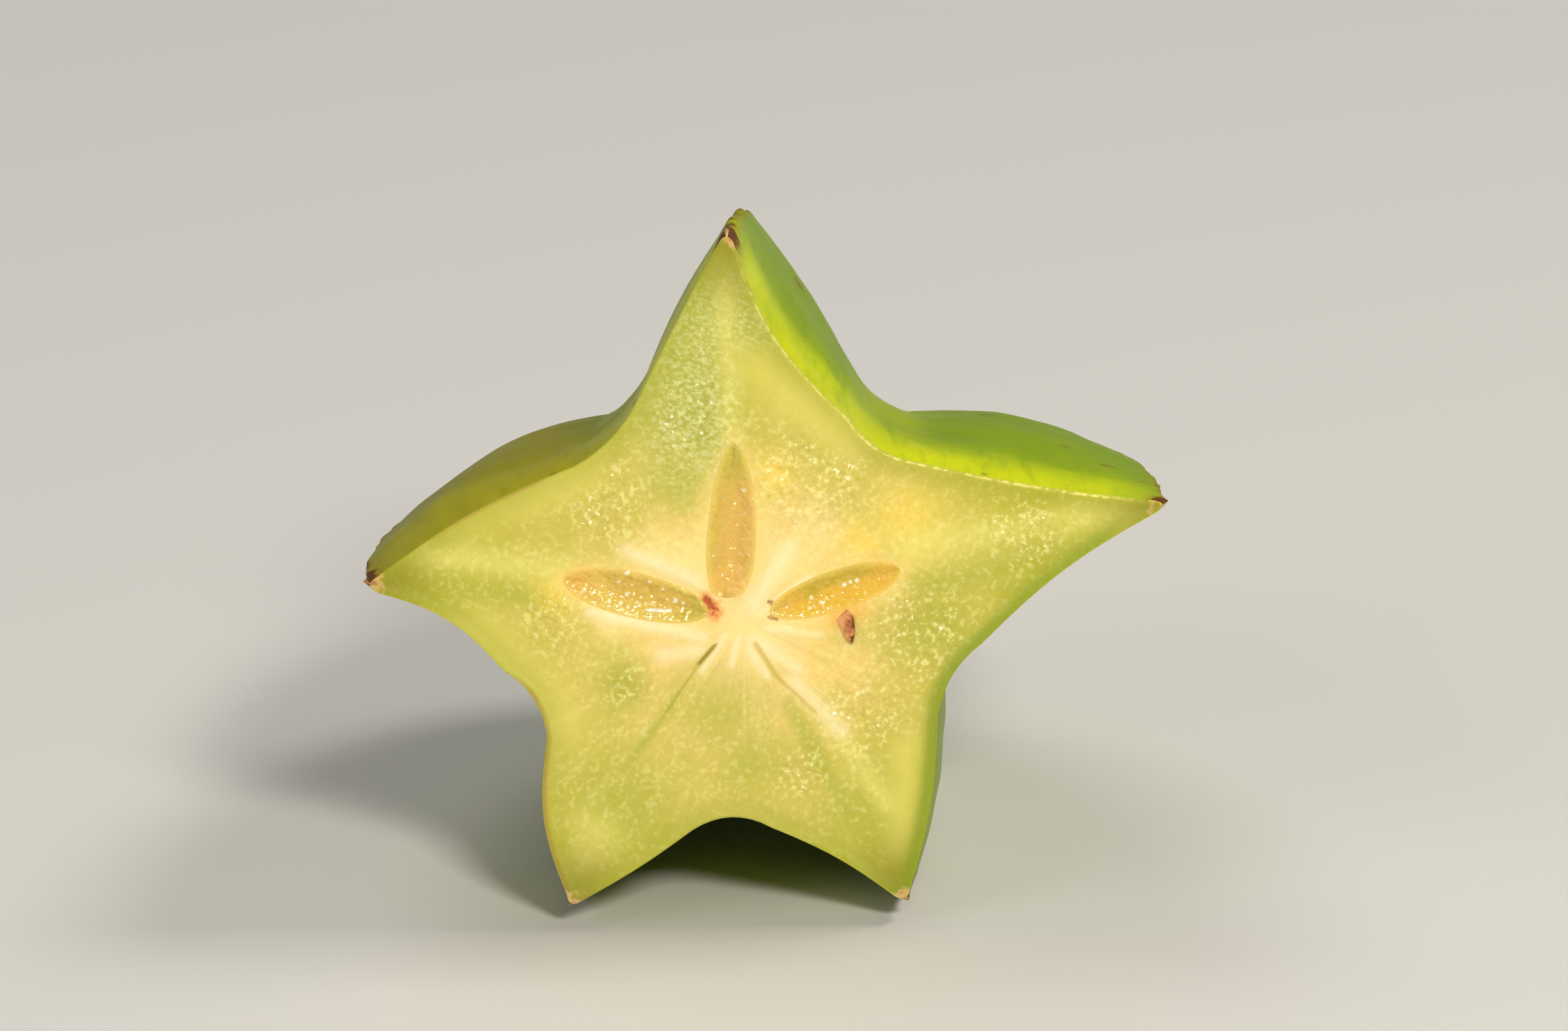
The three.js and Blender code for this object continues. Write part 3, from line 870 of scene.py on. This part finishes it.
def lay_flesh_colours(finish, smoothness):
    """Lays the colours of the flesh, from cream round the core to yellow-green in the arms."""
    edge, core, tip = finish.measure("edge"), finish.measure("core"), finish.measure("tip")
    reach = finish.math("ADD", finish.fade(core, 0.0, 26.0), finish.drift(4.0, 0.09))
    finish.colour = finish.ramp(reach, [
        (0.0, tint(253, 218, 150)),
        (0.14, tint(250, 216, 134)),
        (0.4, tint(221, 203, 103)),
        (0.75, tint(204, 194, 84)),
        (1.0, tint(192, 184, 52)),
    ])
    # broad places
    finish.lay(finish.product(finish.measure("green"), 0.7), tint(181, 183, 64))
    finish.lay(finish.product(finish.measure("warm"), 0.7), tint(255, 222, 104))
    finish.lay(finish.product(finish.measure("cream"), 0.8), tint(255, 229, 156))
    finish.lay(finish.product(finish.measure("vein"), 0.6), tint(234, 226, 122))
    finish.lay(finish.product(smoothness, 0.6), tint(228, 218, 108))
    # fibres that leave the core, and the paler flesh round the chambers
    fibres = finish.noise(1.0, 3.0, 0.6, finish.rays(16.0, 12.0))
    near_core = finish.fade(core, 4.0, 14.0, 1.0, 0.4)
    finish.lay(finish.product(finish.fade(fibres, 0.5, 0.72, 0.0, 0.26), near_core), tint(250, 240, 156))
    finish.lay(finish.product(finish.fade(fibres, 0.32, 0.48, 0.2, 0.0), near_core), tint(196, 192, 66))
    finish.lay(finish.fade(finish.measure("chamber"), 0.1, 1.4, 0.55, 0.0), tint(253, 218, 122))
    finish.lay(finish.product(finish.measure("juice"), 0.85), tint(248, 186, 76))
    # dark and bright juice cells
    grainy = finish.product(
        finish.fade(smoothness, 0.15, 0.7, 1.0, 0.1),
        finish.fade(core, 1.5, 9.0, 0.2, 1.0),
        finish.fade(finish.measure("flecked"), 0.1, 0.7, 0.42, 1.0),
    )
    speck = finish.noise(0.42, 3.0)
    dark = finish.fade(speck, 0.30, 0.50, 0.3, 0.0)
    finish.lay(finish.product(dark, grainy), tint(176, 174, 52))
    light = finish.fade(speck, 0.52, 0.66, 0.0, 0.55)
    finish.lay(finish.product(light, grainy), tint(252, 246, 168))
    finish.lay(finish.product(finish.measure("streak"), 0.6), tint(255, 240, 194))
    # the frosted arm
    frosty = finish.product(finish.measure("frosty"), finish.fade(tip, 1.5, 6.0, 0.25, 1.0),
                            finish.fade(finish.measure("vein"), 0.2, 0.9, 1.0, 0.45))
    finish.lay(finish.product(frosty, 0.5), tint(194, 198, 106))
    ripples = finish.noise(0.3, 3.0, 0.6, finish.stretched(0.7, 1.0, 1.0))
    finish.lay(finish.product(finish.fade(ripples, 0.48, 0.64, 0.0, 0.5), frosty), tint(234, 234, 176))
    finish.lay(finish.product(finish.fade(ripples, 0.34, 0.5, 0.36, 0.0), frosty), tint(154, 162, 60))
    # the arms' tips, and the rim with a painted highlight along it
    finish.lay(finish.fade(tip, 0.5, 6.8, 0.85, 0.0), tint(134, 124, 4))
    finish.lay(finish.fade(edge, 0.2, 2.2, 0.45, 0.0), tint(158, 164, 16))
    green_and_shaded_rim = finish.product(finish.fade(edge, 0.3, 1.4, 0.75, 0.0), finish.measure("green_and_shaded_rim"))
    finish.lay(green_and_shaded_rim, tint(128, 150, 2))
    rusty_rim = finish.product(finish.fade(edge, 0.15, 0.5, 0.6, 0.0), finish.measure("rusty_rim"))
    finish.lay(rusty_rim, tint(158, 112, 56))
    # painted highlight: a broken pale line just inside the rim, beside the skin
    broken = finish.fade(finish.noise(0.5, 2.0), 0.4, 0.6, 0.15, 1.0)
    patchy_rim_highlight = finish.product(broken, finish.measure("rim_highlight"))
    painted_rim_highlight = finish.product(finish.fade(edge, 0.18, 0.36, 0.95, 0.0), patchy_rim_highlight)
    finish.lay(painted_rim_highlight, tint(240, 232, 140))
    finish.lay(finish.fade(edge, 0.05, 0.16, 0.6, 0.0), tint(136, 142, 10))
    corky = finish.math("ADD", tip, finish.drift(0.7, 0.6))
    finish.lay(finish.fade(corky, 0.7, 1.6, 0.85, 0.0), tint(210, 172, 108))
    finish.lay(finish.fade(corky, 0.2, 0.6, 0.7, 0.0), tint(150, 92, 50))
    # small marks near the core
    finish.lay(finish.fade(finish.measure("slit"), 0.03, 0.3, 0.65, 0.0), tint(168, 154, 8))
    finish.lay(finish.fade(finish.measure("seam"), 0.03, 0.34, 0.5, 0.0), tint(192, 164, 10))
    splinter = finish.math("ADD", finish.measure("splinter"), finish.fade(speck, 0.3, 0.7, -0.1, 0.1))
    finish.lay(finish.fade(splinter, 0.12, 0.32, 0.85, 0.0), tint(160, 106, 14))
    stain = finish.math("ADD", finish.measure("stain"), finish.drift(0.5, 0.2))
    finish.lay(finish.fade(stain, 0.25, 1.1, 0.75, 0.0), tint(248, 150, 66))
    finish.lay(finish.fade(stain, 0.1, 0.45, 0.85, 0.0), tint(184, 74, 36))


def flesh_finish():
    """Wet translucent flesh with glinting juice cells."""
    finish = Finish("juicy_flesh")
    smoothness = finish.measure("smoothness")
    wet = finish.product(
        finish.fade(finish.noise(2.4, 3.0), 0.35, 0.65, 0.4, 1.0),
        finish.fade(finish.measure("flecked"), 0.1, 0.7, 0.15, 1.0),
        finish.fade(smoothness, 0.15, 0.7, 1.0, 0.1),
        finish.fade(finish.measure("edge"), 0.6, 2.4, 0.1, 1.0),
    )
    normal = finish.relief(finish.noise(0.9, 3.0), 0.07)
    normal = finish.relief(finish.product(finish.facets(0.22), wet), 0.8, normal)
    lay_flesh_colours(finish, smoothness)
    finish.set(
        Base_Color=finish.colour,
        Roughness=finish.math(
            "MAXIMUM", finish.fade(finish.noise(1.2, 2.0), 0.35, 0.65, 0.2, 0.34),
            finish.math("MAXIMUM", finish.fade(finish.measure("edge"), 0.6, 1.6, 0.6, 0.2),
                        finish.fade(finish.measure("chamber"), 0.3, 1.2, 0.5, 0.2))),
        Normal=normal,
        Specular_IOR_Level=0.4,
        Subsurface_Weight=finish.fade(finish.measure("chamber"), 0.0, 0.8, 0.05, 0.55),
        Subsurface_Radius=(1.0, 0.85, 0.25),
        Subsurface_Scale=1.6 * MM,
    )
    return finish.material


Jelly = namedtuple("Jelly", "chamber seed seed_width seed_tint tint outer_tint inner_tint lumps")
JELLIES = [
    Jelly(UPPER, ((-3.0, 8.6), (-1.7, 2.8)), 1.7, tint(228, 186, 92), tint(220, 190, 84),
          tint(204, 188, 72), tint(240, 192, 96), 0.6),
    Jelly(RIGHT, ((3.4, 4.2), (8.0, 7.6)), 1.1, tint(208, 180, 54), tint(236, 190, 66),
          tint(234, 188, 68), tint(236, 194, 84), 0.6),
    Jelly(LEFT, ((-9.6, -0.7), (-4.2, -0.3)), 1.2, tint(220, 186, 82), tint(230, 198, 92),
          tint(238, 190, 88), tint(204, 180, 66), 1.0),
]
JELLY_SPREAD = 0.08
JELLY_DIP = 0.45


def jelly_finish(jelly):
    """Wet amber jelly with the flat seed showing through it, and painted white highlights on its droplets."""
    finish = Finish(jelly.chamber.name + "_jelly")
    drift = finish.drift(1.1, 0.2)
    seed = finish.math("ADD", finish.measure("seed"), drift)
    finish.colour = jelly.tint
    finish.lay(finish.fade(seed, 0.1, 0.95), jelly.seed_tint)
    along = finish.math("ADD", finish.measure("along"), finish.product(drift, 0.3))
    finish.lay(finish.fade(along, 0.66, 0.95), jelly.outer_tint)
    finish.lay(finish.fade(along, 0.05, 0.22, 1.0, 0.0), jelly.inner_tint)
    fibres = finish.noise(0.35, 3.0)
    finish.lay(finish.fade(fibres, 0.5, 0.72, 0.0, 0.2), tint(246, 220, 140))
    finish.lay(finish.fade(fibres, 0.28, 0.46, 0.15, 0.0), tint(176, 140, 48))
    rim = finish.measure("rim")
    finish.lay(finish.fade(rim, -0.05, 0.4, 0.5, 0.0), tint(244, 212, 116))
    # painted highlights: the droplets and the ridge of juice whitened as glints
    ragged = finish.fade(finish.noise(0.16, 2.0), 0.3, 0.7, -0.3, 0.25)
    droplet_glint = finish.math("ADD", finish.measure("droplet_glint"), ragged)
    finish.lay(finish.fade(droplet_glint, 0.3, 0.95, 0.0, 0.85), tint(255, 250, 228))
    normal = finish.relief(finish.noise(0.5, 2.0), 0.16)
    normal = finish.relief(finish.noise(0.2, 1.0), 0.02, normal)
    finish.set(
        Base_Color=finish.colour,
        Roughness=0.12,
        Normal=normal,
        Subsurface_Weight=finish.fade(rim, 0.0, 0.7, 0.05, 0.55),
        Subsurface_Radius=(1.0, 0.7, 0.2),
        Subsurface_Scale=1.4 * MM,
        Coat_Weight=0.5,
        Coat_Roughness=finish.fade(droplet_glint, 0.1, 0.5, 0.05, 0.25),
        IOR=1.36,
    )
    return finish.material


def chip_finish():
    """Brown seed coat with a paler broken side; the pale side is partly painted light and the dark side
    partly painted shade.
    """
    finish = Finish("seed_coat")
    # pale tan on one side of the ridge and dark brown on the other, partly painted light and shade
    side = finish.math("ADD", finish.measure("side"), finish.drift(0.5, 0.15))
    colour = finish.ramp(side, [
        (0.3, tint(230, 164, 104)),
        (0.52, tint(192, 118, 64)),
        (0.66, tint(100, 48, 14)),
    ])
    finish.set(
        Base_Color=colour,
        Roughness=0.38,
        Normal=finish.relief(finish.noise(0.25, 3.0), 0.05),
        Subsurface_Weight=0.1,
        Subsurface_Radius=(1.0, 0.5, 0.3),
        Subsurface_Scale=0.4 * MM,
    )
    return finish.material


def floor_finish():
    """Plain pale matt floor."""
    finish = Finish("pale_floor")
    finish.set(Base_Color=tint(206, 204, 200), Roughness=0.7)
    return finish.material


# ---------------------------------------------------------------- the pieces

def make_fruit():
    """The half fruit with its open chambers."""
    piece = build_body("fruit_body")
    cutters = [build_pod("cutter", chamber, chamber.depth, chamber.depth, WALL_STEPS) for chamber in CHAMBERS]
    cutters.append(build_chip("cutter", CHIP_BED_GROWTH, CHIP_BED_FRONT, CHIP_BED_BACK))
    cut_with(piece, cutters)
    lay_down(piece)
    press_flat(piece)
    measure = body_measures()
    write_measures(piece, BODY_MEASURES, [measure(FROM_PLACE @ vert.co) for vert in piece.data.vertices])
    piece.data.materials.clear()
    piece.data.materials.append(skin_finish())
    piece.data.materials.append(flesh_finish())
    assign_flesh(piece)
    take_up(piece)
    bpy.ops.object.shade_smooth_by_angle(angle=math.radians(40))
    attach(piece, "root")
    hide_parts("star_fruit")


def make_seed(jelly):
    """A seed in its jelly, which dips below the cut, has a lumpy wet top and laps on to the flesh."""
    chamber = jelly.chamber
    piece = build_pod(chamber.name + "_jelly", chamber, 1.0, chamber.depth, JELLY_STEPS, JELLY_SPREAD)
    droplets = [droplet_glint for droplet_glint in DROPLETS if chamber_distance(droplet_glint[0], droplet_glint[1], chamber) < 0]
    inner, outer = Vector(chamber.inner), Vector(chamber.outer)
    along = (outer - inner) / (outer - inner).length_squared
    rows = []
    for vert in piece.data.vertices:
        x, z = vert.co.x, vert.co.z
        within = -chamber_distance(x, z, chamber)
        ridge = hill(from_line(x, z, JUICE_RIDGE), JUICE_RIDGE_WIDTH)
        domes = [(reach, hill(math.hypot(x - dx, z - dz), reach)) for dx, dz, reach in droplets]
        rows.append((
            hill(from_line(x, z, jelly.seed), jelly.seed_width),
            (Vector((x, z)) - inner).dot(along),
            within,
            max(ridge, *(dome for _, dome in domes)),
        ))
        lumps = 0.14 * grain(x, z, 0.9, 2.0) + 0.09 * grain(x, z, 0.35, 6.0)
        top = cut_depth(x, z, 5.0) - 0.04 + JELLY_DIP * smooth(0.1, 1.4, within)
        top += jelly.lumps * lumps * smooth(0.0, 0.4, within) + 2.0 * max(0.0, -within)
        top -= sum(DROPLET_HEIGHT * reach * dome for reach, dome in domes) + JUICE_RIDGE_HEIGHT * ridge
        if vert.co.y < 0.02:
            vert.co.y = top
        else:
            vert.co.y = max(vert.co.y, top)
    lay_down(piece)
    write_measures(piece, ("seed", "along", "rim", "droplet_glint"), rows)
    piece.data.materials.append(jelly_finish(jelly))
    bpy.ops.object.shade_smooth()
    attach(piece, "root")
    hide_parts(chamber.name)


def make_chip():
    """The brown chip of seed, broken to a ridge with a pale and a dark side."""
    piece = build_chip("seed_chip_coat", 1.0, CHIP_FRONT, CHIP_BACK)
    take_up(piece)
    rounding = piece.modifiers.new("rounding", "BEVEL")
    rounding.width = CHIP_ROUNDING
    rounding.segments = 2
    bpy.ops.object.modifier_apply(modifier=rounding.name)
    bpy.ops.object.mode_set(mode="EDIT")
    bpy.ops.mesh.select_all(action="SELECT")
    bpy.ops.mesh.quads_convert_to_tris()
    bpy.ops.mesh.subdivide(number_cuts=3)
    bpy.ops.object.mode_set(mode="OBJECT")
    ridge_start, ridge_end = Vector(CHIP_RIDGE[0]), Vector(CHIP_RIDGE[1])
    along = (ridge_end - ridge_start).normalized()
    rows = []
    for vert in piece.data.vertices:
        x, z = vert.co.x, vert.co.z
        offset = Vector((x, z)) - ridge_start
        beside = offset.x * -along.y + offset.y * along.x
        rows.append((0.5 + beside / 2,))
        if vert.co.y < 0.4:
            vert.co.y -= CHIP_RIDGE_HEIGHT * hill(beside, CHIP_RIDGE_WIDTH)
        vert.co.y += 0.06 * grain(x, z, 0.3, 3.0)
    lay_down(piece)
    write_measures(piece, ("side",), rows)
    piece.data.materials.append(chip_finish())
    bpy.ops.object.shade_smooth_by_angle(angle=math.radians(35))
    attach(piece, "root")
    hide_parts("seed_chip")


# ---------------------------------------------------------------- floor, light and camera

VIEW_TURN = math.radians(3.0)
VIEW_HEIGHT = math.radians(16.0)
VIEW_DISTANCE = 0.85
VIEW_LENS = 262.0
VIEW_TARGET = Vector((0.001, -0.012, 0.0265))
FLOOR_SIZE = 6.0
WORLD_COLOUR = (0.98, 0.98, 1.0, 1.0)
WORLD_STRENGTH = 0.14

# The lights: turn and height of the place in degrees, distance and size in metres, power in watts.
Light = namedtuple("Light", "name turn height distance size power colour")
LIGHTS = [
    Light("key", 24, 33, 0.9, 0.16, 6.0, (1.0, 0.95, 0.86)),
    Light("fill", -50, 26, 1.0, 0.6, 2.2, (1.0, 0.99, 0.96)),
    Light("side", 112, 50, 0.9, 0.3, 3.6, (1.0, 0.96, 0.88)),
    Light("back", -150, 55, 1.0, 0.5, 2.4, (1.0, 0.99, 0.96)),
]


def towards(turn, height):
    """The direction of a place seen from the fruit; turn is measured from the camera's side to the right."""
    return Vector((math.sin(turn) * math.cos(height), -math.cos(turn) * math.cos(height), math.sin(height)))


def make_floor():
    """The plain floor that the half lies on."""
    start_fresh()
    bpy.ops.mesh.primitive_plane_add(size=FLOOR_SIZE, location=(0, 0, 0))
    floor = bpy.context.object
    floor.name = "floor"
    floor.data.materials.append(floor_finish())


def make_lights():
    """The pale surroundings, and square soft lights aimed at the fruit."""
    world = bpy.data.worlds.new("studio")
    world.use_nodes = True
    background = world.node_tree.nodes["Background"]
    background.inputs["Color"].default_value = WORLD_COLOUR
    background.inputs["Strength"].default_value = WORLD_STRENGTH
    bpy.context.scene.world = world
    for light in LIGHTS:
        away = towards(math.radians(light.turn), math.radians(light.height))
        bpy.ops.object.light_add(type="AREA", location=VIEW_TARGET + away * light.distance)
        lamp = bpy.context.object
        lamp.name = light.name
        lamp.rotation_euler = away.to_track_quat("Z", "Y").to_euler()
        lamp.data.size = light.size
        lamp.data.energy = light.power
        lamp.data.color = light.colour


def make_camera():
    """The camera, a little above the fruit and to its right."""
    away = towards(VIEW_TURN, VIEW_HEIGHT)
    bpy.ops.object.camera_add(location=VIEW_TARGET + away * VIEW_DISTANCE)
    camera = bpy.context.object
    camera.rotation_euler = away.to_track_quat("Z", "Y").to_euler()
    camera.data.lens = VIEW_LENS
    camera.data.clip_start = 0.05
    bpy.context.scene.camera = camera


make_floor()
make_lights()
make_camera()
bpy.context.scene.view_settings.view_transform = "Standard"
make_fruit()
for jelly in JELLIES:
    make_seed(jelly)
make_chip()
